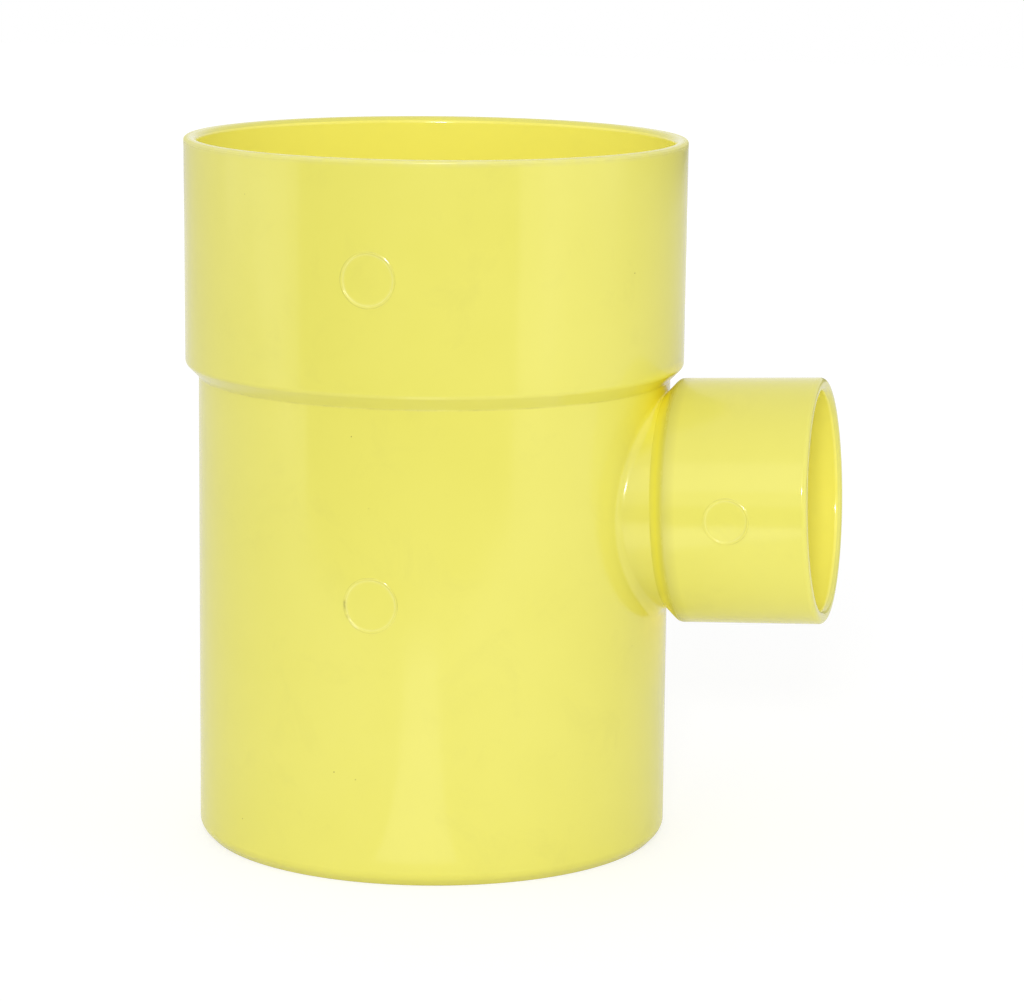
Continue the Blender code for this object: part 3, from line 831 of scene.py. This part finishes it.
# Lamps, all aimed at the middle of the tee, as
# (name, bearing, distance, height, face width, face height, level, mirrored by the tee)
LAMP_AIM = Vector((0.0, 0.0, 0.08))
LAMPS = (("left_softbox", -88.0, 1.1, 0.5, 0.9, 1.3, 0.39, True),
         ("right_softbox", 68.0, 1.1, 0.4, 0.9, 1.3, 0.28, True),
         ("front_umbrella", -6.0, 1.05, 0.72, 0.9, 0.6, 0.6, True),
         ("front_flash", -1.5, 1.0, 0.40, 0.12, 0.08, 114.0, True),
         ("back_softbox", 180.0, 1.2, 0.7, 0.9, 0.9, 0.8, False))

# Light that the table throws up under the branch
BOUNCE_PLACE = Vector((0.23, -0.13, 0.002))
BOUNCE_SIZE = 0.24
BOUNCE_LEVEL = 0.4


def link(item):
    """Puts an object in the scene and hands it back."""
    bpy.context.scene.collection.objects.link(item)
    return item


def round_the_tee(bearing, distance, height):
    """Place at a bearing from the camera's side of the run; positive is to the camera's right."""
    angle = math.radians(CAMERA_BEARING + bearing)
    return Vector((RUN_AXIS_X + distance * math.cos(angle), distance * math.sin(angle), height))


def softbox(name, place, aim, width, height, level):
    """Plain rectangular soft light whose face has about the given brightness."""
    light = bpy.data.lights.new(name, "AREA")
    light.shape = "RECTANGLE"
    light.size = width
    light.size_y = height
    light.energy = level * width * height * math.pi
    lamp = link(bpy.data.objects.new(name, light))
    lamp.location = place
    lamp.rotation_euler = (aim - place).to_track_quat("-Z", "Y").to_euler()
    lamp.visible_camera = False
    return lamp


def set_camera():
    """Long-lens camera where the photographer stood."""
    camera = bpy.data.cameras.new("camera")
    camera.lens = CAMERA_LENS
    camera.sensor_fit = "HORIZONTAL"
    camera.sensor_width = SENSOR_WIDTH
    camera.clip_start = CLIP_START
    holder = link(bpy.data.objects.new("camera", camera))
    holder.matrix_world = (Matrix.Translation(CAMERA_PLACE)
                           @ Matrix.Rotation(CAMERA_TURN, 4, "Z")
                           @ Matrix.Rotation(math.pi / 2 - CAMERA_TILT, 4, "X")
                           @ Matrix.Rotation(CAMERA_ROLL, 4, "Z"))
    bpy.context.scene.camera = holder


def sheet_object(name, corners, material):
    """Flat stage piece through four corners."""
    mesh = bpy.data.meshes.new(name)
    mesh.from_pydata(corners, [], [(0, 1, 2, 3)])
    mesh.materials.append(material)
    piece = link(bpy.data.objects.new(name, mesh))
    piece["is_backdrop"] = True
    return piece


def standing_card(name, start, end, distance, top, material):
    """Upright card between two bearings, out of the camera's sight; only the tee mirrors it."""
    corners = [round_the_tee(start, distance, CARD_FOOT), round_the_tee(end, distance, CARD_FOOT),
               round_the_tee(end, distance, top), round_the_tee(start, distance, top)]
    card = sheet_object(name, corners, material)
    card.visible_camera = False


def set_world():
    """Even pale surroundings: white where seen, and a plain fill light otherwise."""
    world = bpy.data.worlds.new("pale_room")
    bpy.context.scene.world = world
    world.use_nodes = True
    tree = world.node_tree
    backdrop = tree.nodes["Background"]
    backdrop.inputs["Color"].default_value = colour(WHITE)
    level = add(tree, "MapRange", {"Value": seen_share(tree, 1.0, 1.0), "To Min": FILL_LEVEL, "To Max": 1.0})
    tree.links.new(level.outputs[0], backdrop.inputs["Strength"])


def set_studio():
    """White floor, the cards and sheet that the gloss picks up, the lamps and the room."""
    sheet_object("floor", [(-FLOOR_SIDE, FLOOR_FRONT, -FLOOR_GAP), (FLOOR_SIDE, FLOOR_FRONT, -FLOOR_GAP),
                           (FLOOR_SIDE, FLOOR_BACK, -FLOOR_GAP), (-FLOOR_SIDE, FLOOR_BACK, -FLOOR_GAP)],
                 white_floor())
    grey = grey_card()
    for name, first, last, distance, top in CARDS:
        standing_card(name, first, last, distance, top, grey)
    corners = [round_the_tee(bearing, distance, SHEET_LIFT) for bearing, distance in SHEET_CORNERS]
    sheet = sheet_object("front_sheet", corners, bright_sheet())
    sheet.visible_camera = False
    sheet.visible_diffuse = False
    sheet.visible_shadow = False
    for name, bearing, distance, height, width, tall, level, mirrored in LAMPS:
        lamp = softbox(name, round_the_tee(bearing, distance, height), LAMP_AIM, width, tall, level)
        lamp.visible_glossy = mirrored
    upward = BOUNCE_PLACE + Vector((0.0, 0.0, 1.0))
    bounce = softbox("table_bounce", BOUNCE_PLACE, upward, BOUNCE_SIZE, BOUNCE_SIZE, BOUNCE_LEVEL)
    bounce.visible_glossy = False
    set_world()


def main():
    """Sets the dressed tee over the solid, then the camera and the studio."""
    tee = link(bpy.data.objects.new("tee", tee_mesh()))
    tee.data.materials.append(moulded_upvc())
    weighted = tee.modifiers.new("even_walls", "WEIGHTED_NORMAL")
    weighted.keep_sharp = False
    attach(tee, "root")
    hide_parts("tee_body")
    set_camera()
    set_studio()
    bpy.context.scene.view_settings.view_transform = "Standard"


main()
boxes = {"solid": SOLID_BOX, "visual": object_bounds()}
{name: [list(corner) for corner in box] for name, box in boxes.items()}
